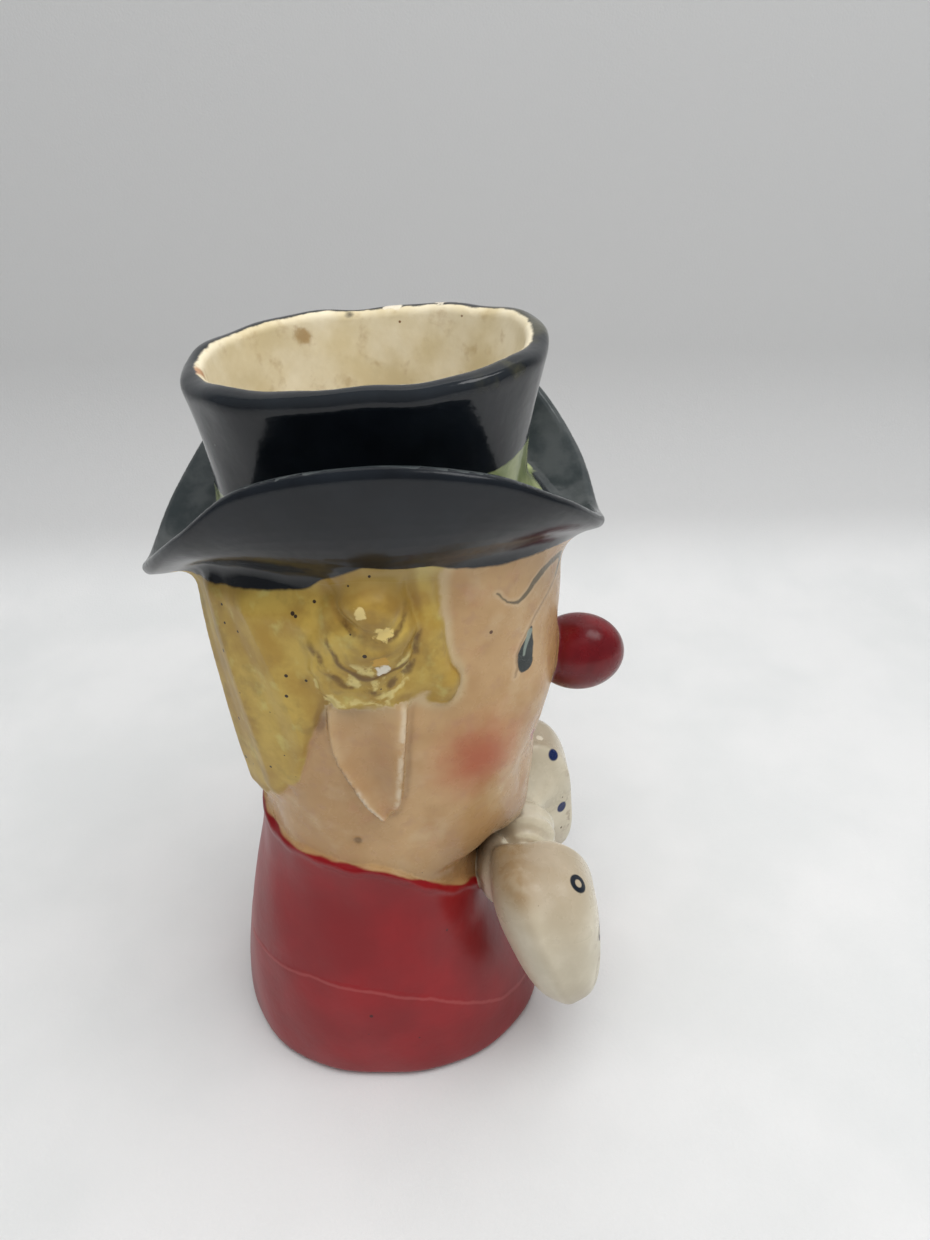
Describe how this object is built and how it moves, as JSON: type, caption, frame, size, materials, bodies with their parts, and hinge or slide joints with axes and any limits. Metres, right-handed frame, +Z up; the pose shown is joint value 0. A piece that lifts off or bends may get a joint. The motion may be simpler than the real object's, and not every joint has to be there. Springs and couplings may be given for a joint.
{
  "type": "clown head vase",
  "caption": "Hollow glazed vase shaped as a clown's head and shoulders, open through the crown of a brimmed hat, with a round nose and a bow tie.",
  "frame": {"origin": "middle of the flat underside, on the upright axis of the body", "axes": "+Z up through the hat crown, -Y the way the face looks, +X towards the figure's own left"},
  "size_m": [0.0718, 0.0894, 0.1522],
  "materials": {
    "glazed_ceramic": "gloss"
  },
  "bodies": {
    "root": {"head_vase": "glazed_ceramic"}
  },
  "joints": []
}
